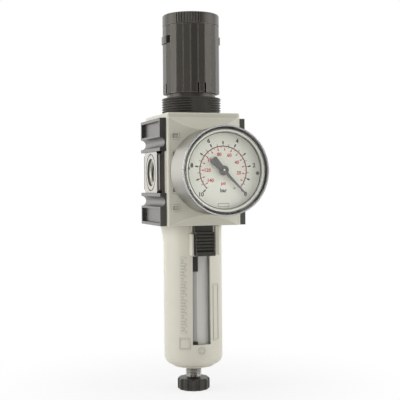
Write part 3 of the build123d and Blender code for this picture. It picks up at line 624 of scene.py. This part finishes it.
def makeDialScrews():
    # Two domed screws hold the dial, and a pin stops the pointer at zero.
    radius, size, places = dial["screws"]
    for side, degrees in places.items():
        x, y = dialPoint(radius, degrees)
        rings = [(0.01, 0.0), (size, 0.0), (size, 0.15), (size * 0.7, 0.3), (0.01, 0.34)]
        place = gaugePlace(dial["face"]) @ Matrix.Translation((x, y, 0))
        turned("dialScrew" + side, "housing_body", rings, 20, "pointerGrey",
               place=place, closed=False)
    radius, degrees, size, height = dial["pin"]
    place = gaugePlace(dial["face"]) @ Matrix.Translation((*dialPoint(radius, degrees), 0))
    rings = [(size, 0.0), (size, height - 0.1), (size - 0.1, height), (0.01, height)]
    turned("pointerStop", "housing_body", rings, 20, "portNickel", place=place, closed=False)


def makeHubPin():
    # The pale end of the shaft in the middle of the pointer.
    radius, low, high = dial["hub"]
    rings = [(0.01, low), (radius, low), (radius, high - 0.1), (radius - 0.1, high), (0.01, high)]
    turned("hubPin", "pointer_body", rings, 24, "dialWhite", place=gaugePlace(), closed=False)


# Steel edge, dark gasket, pale spacer and inner line: inner and outer radius, low, high, finish, slot
windowRings = {"rimRing": (24.1, 24.75, 61.6, 62.9, "rimSteel", "case_steel"),
               "gasketRing": (22.95, 23.3, 61.9, 62.1, "rubber", "seal_rubber"),
               "spacerRing": (21.6, 22.7, 61.0, 61.2, "dialWhite", "dial_white"),
               "edgeRing": (20.8, 21.15, 59.7, 59.8, "rubber", "seal_rubber")}


def makeWindowRings():
    # The rings that show through the clear rim of the window.
    for name, (inner, outer, low, high, finish, slotName) in windowRings.items():
        rings = [(inner, low), (outer, low), (outer, high), (inner, high)]
        turned(name, "housing_body", rings, 120, finish, place=gaugePlace(), sharp=60)


makeDial()
makeDialScrews()
makeHubPin()
makeWindowRings()
print("dial made")


# Raised marks on the guard

relief = {"low": 17.55, "high": 17.98, "stepDegrees": 3, "line": 0.55,
          "column": (-42.0, -30.5), "columnHeight": (-129.8, -84.1), "ribs": 25, "ribShare": 0.55,
          "lengths": (1.0, 0.62, 1.0, 0.8, 1.0, 0.45),
          "square": (-46.0, -24.0, -139.6, -132.9), "long": (25.0, 41.0, -135.0, -101.5)}


def patch(verts, faces, first, last, low, high, inner=relief["low"], outer=relief["high"]):
    # A raised block on the wall between two directions, in degrees to the right of the front.
    steps = max(1, round(abs(last - first) / relief["stepDegrees"]))
    start = len(verts)
    for i in range(steps + 1):
        angle = math.radians(first + (last - first) * i / steps)
        for radius, height in ((inner, low), (outer, low), (outer, high), (inner, high)):
            verts.append((radius * math.sin(angle), -radius * math.cos(angle), height))
    for i in range(steps):
        a = start + 4 * i
        for j in range(4):
            faces.append((a + j, a + (j + 1) % 4, a + 4 + (j + 1) % 4, a + 4 + j))
    faces.append((start, start + 3, start + 2, start + 1))
    end = start + 4 * steps
    faces.append((end, end + 1, end + 2, end + 3))


def outline(verts, faces, first, last, low, high):
    # A square frame of raised lines.
    line = relief["line"]
    turn = math.degrees(line / relief["high"])
    patch(verts, faces, first, last, low, low + line)
    patch(verts, faces, first, last, high - line, high)
    patch(verts, faces, first, first + turn, low + line, high - line)
    patch(verts, faces, last - turn, last, low + line, high - line)


def makeGuardRelief():
    # A column of ribs of unlike lengths, and two frames.
    verts, faces = [], []
    first, last = relief["column"]
    low, high = relief["columnHeight"]
    pitch = (high - low) / relief["ribs"]
    for i in range(relief["ribs"]):
        end = first + (last - first) * relief["lengths"][i % len(relief["lengths"])]
        patch(verts, faces, first, end, low + i * pitch, low + (i + relief["ribShare"]) * pitch)
    outline(verts, faces, *relief["square"])
    outline(verts, faces, *relief["long"])
    addPiece("guardRelief", "bowl_body", verts, faces, "guard")


# Two black blocks in the left edge of the window: inner and outer radius, then degrees and heights
blocks = {"radii": (15.95, 16.7),
          "places": [(-18.6, -6.8, -93.6, -84.5), (-19.6, -8.0, -136.9, -135.2)]}


def makeWindowBlocks():
    verts, faces = [], []
    for place in blocks["places"]:
        patch(verts, faces, *place, *blocks["radii"])
    addPiece("windowBlocks", "bowl_body", verts, faces, "innerBlack")


makeGuardRelief()
makeWindowBlocks()
print("guard marks made")


# Springs, copied onto the bodies that carry them, and the diaphragm, whose middle goes with the plate

springs = {"main_spring": {"joint": "nut_travel", "body": "housing_body", "fixed": -3.3, "travel": 7.5},
           "valve_spring": {"joint": "valve_travel", "body": "housing_body", "fixed": -46.5, "travel": 1.2},
           "lock_spring": {"joint": "lock_slide_pull", "body": "bowl_body", "fixed": -78.8, "travel": 3.5}}
diaphragmShape = {"centre": [(3.05, -8.0), (11.75, -8.0), (11.95, -7.8), (11.75, -7.25), (3.05, -7.25)],
                  "middle": 14.05, "height": -7.4, "outer": 2.45, "inner": 1.55, "steps": 12, "share": 0.88,
                  "rim": [(20.2, -6.5), (20.2, -8.0), (15.6, -8.0)]}


def makeSpring(name):
    # The same coil, copied onto the body that carries it, with its own mesh.
    s = springs[name]
    piece = bpy.data.objects.new(name + "_coil", nodes[name].data.copy())
    bpy.context.scene.collection.objects.link(piece)
    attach(piece, s["body"])
    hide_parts(name)
    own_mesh(piece)


def foldArc(radius, share):
    # Points over the top of the fold, from its inner side outwards, for this share of a half turn.
    d = diaphragmShape
    angles = [math.pi * share * i / d["steps"] for i in range(d["steps"] + 1)]
    return [(d["middle"] - radius * math.cos(a), d["height"] + radius * math.sin(a)) for a in angles]


def makeDiaphragm():
    # The clamped rim with its fold stays, and the middle goes with the plate.
    d = diaphragmShape
    fold = foldArc(d["outer"], d["share"]) + d["rim"] + foldArc(d["inner"], 1.0)[::-1]
    turned("diaphragmFold", "housing_body", fold, 96, "rubber", stands=["diaphragm"])
    turned("diaphragmCentre", "plate_body", d["centre"], 96, "rubber", stands=["diaphragm"])


for name in springs:
    makeSpring(name)
makeDiaphragm()
print("springs and diaphragm made")


# Camera, lights and floor

# Degrees from the front, distance and height in mm, lens in mm, and shift as a share of the picture
view = {"turn": -17.5, "distance": 550.0, "height": -42.2, "roll": 0.5,
        "lens": 81.0, "right": 0.020, "down": -0.0375}
# Each lamp: degrees to the right of the camera, degrees up, distance, size, power
lamps = {"leftSoftbox": (-78.0, 5, 0.8, (0.6, 0.9), 5.0),
         "rightSoftbox": (78.0, 5, 0.8, (0.6, 0.9), 4.25),
         "leftBack": (-132.0, 10, 0.9, (0.6, 0.9), 1.4),
         "rightBack": (132.0, 10, 0.9, (0.6, 0.9), 1.12),
         "topSoftbox": (0.0, 70, 0.9, (0.7, 0.7), 1.6),
         "frontFill": (-10.0, 12, 1.3, (0.9, 0.9), 2.1)}
studio = {"aim": -0.05, "fill": 0.34, "dark": 0.08, "darkFrom": 0.1, "darkTo": 0.85,
          "floor": -0.1664, "floorHalf": 3.0, "paper": (0.90, 0.90, 0.89),
          "glowFrom": 0.03, "glowTo": 0.16, "glowStart": 0.78}


def makeCamera():
    camera = bpy.data.objects.new("camera", bpy.data.cameras.new("camera"))
    bpy.context.scene.collection.objects.link(camera)
    angle = math.radians(view["turn"])
    reach = view["distance"] * mm
    camera.location = (reach * math.sin(angle), -reach * math.cos(angle), view["height"] * mm)
    look = Vector((-math.sin(angle), math.cos(angle), 0))
    camera.rotation_euler = look.to_track_quat("-Z", "Y").to_euler()
    camera.rotation_euler.rotate_axis("Z", math.radians(-view["roll"]))
    camera.data.lens = view["lens"]
    camera.data.sensor_width = 36.0
    camera.data.shift_x = view["right"]
    camera.data.shift_y = view["down"]
    bpy.context.scene.camera = camera


def addLamp(name, right, up, distance, size, power):
    lamp = bpy.data.objects.new(name, bpy.data.lights.new(name, "AREA"))
    lamp.data.shape = "RECTANGLE"
    lamp.data.size, lamp.data.size_y = size
    lamp.data.energy = power
    bpy.context.scene.collection.objects.link(lamp)
    turn, rise = math.radians(view["turn"] + right), math.radians(up)
    away = Vector((math.sin(turn) * math.cos(rise), -math.cos(turn) * math.cos(rise), math.sin(rise)))
    lamp.location = Vector((0, 0, studio["aim"])) + away * distance
    lamp.rotation_euler = (-away).to_track_quat("-Z", "Y").to_euler()


def makeLights():
    for name, settings in lamps.items():
        addLamp(name, *settings)


def makeWorld():
    # White to the camera and through glass, and in reflections apart from a dark zone behind the camera.
    world = bpy.data.worlds.new("studio")
    world.use_nodes = True
    bpy.context.scene.world = world
    g = Graph(world.node_tree)
    turn = math.radians(view["turn"])
    toCamera = {0: g.node("ShaderNodeTexCoord", out="Generated"), 1: (math.sin(turn), -math.cos(turn), 0)}
    facing = g.node("ShaderNodeVectorMath", {"operation": "DOT_PRODUCT"}, toCamera, out="Value")
    mirrored = g.ramp(facing, studio["darkFrom"], studio["darkTo"], 1.0, studio["dark"])
    seen = g.ray("Camera") | g.ray("Transmission")
    glossy = g.ray("Glossy")
    strength = seen + (1 - seen) * (glossy * mirrored + (1 - glossy) * studio["fill"])
    sky = g.tree.nodes["Background"]
    sky.inputs["Color"].default_value = (1, 1, 1, 1)
    g.tree.links.new(strength.socket, sky.inputs["Strength"])


def makeFloor():
    # White paper that shows the shadow near the object and turns plain white further out.
    mesh = bpy.data.meshes.new("floor")
    half, low = studio["floorHalf"], studio["floor"]
    corners = [(-half, -half, low), (half, -half, low), (half, half, low), (-half, half, low)]
    mesh.from_pydata(corners, [], [(0, 1, 2, 3)])
    floor = bpy.data.objects.new("floor", mesh)
    bpy.context.scene.collection.objects.link(floor)
    f = Finish("floorPaper", Roughness=0.8)
    f.shader.inputs["Base Color"].default_value = (*studio["paper"], 1)
    f.shader.inputs["Specular IOR Level"].default_value = 0.1
    glow = f.node("ShaderNodeEmission", None, {"Strength": 1.0})
    flat = f.node("ShaderNodeVectorMath", {"operation": "MULTIPLY"}, {0: f.place(), 1: (1, 1, 0)})
    away = f.node("ShaderNodeVectorMath", {"operation": "LENGTH"}, {0: flat}, out="Value")
    white = f.ramp(away, studio["glowFrom"], studio["glowTo"], studio["glowStart"], 1.0)
    seen = f.ray("Camera") | f.ray("Transmission") | f.ray("Glossy")
    f.show(f.blend(seen * white, f.surface(), glow))
    mesh.materials.append(f.material)


makeCamera()
makeLights()
makeWorld()
makeFloor()
bpy.context.scene.view_settings.view_transform = "Standard"
print("studio made")
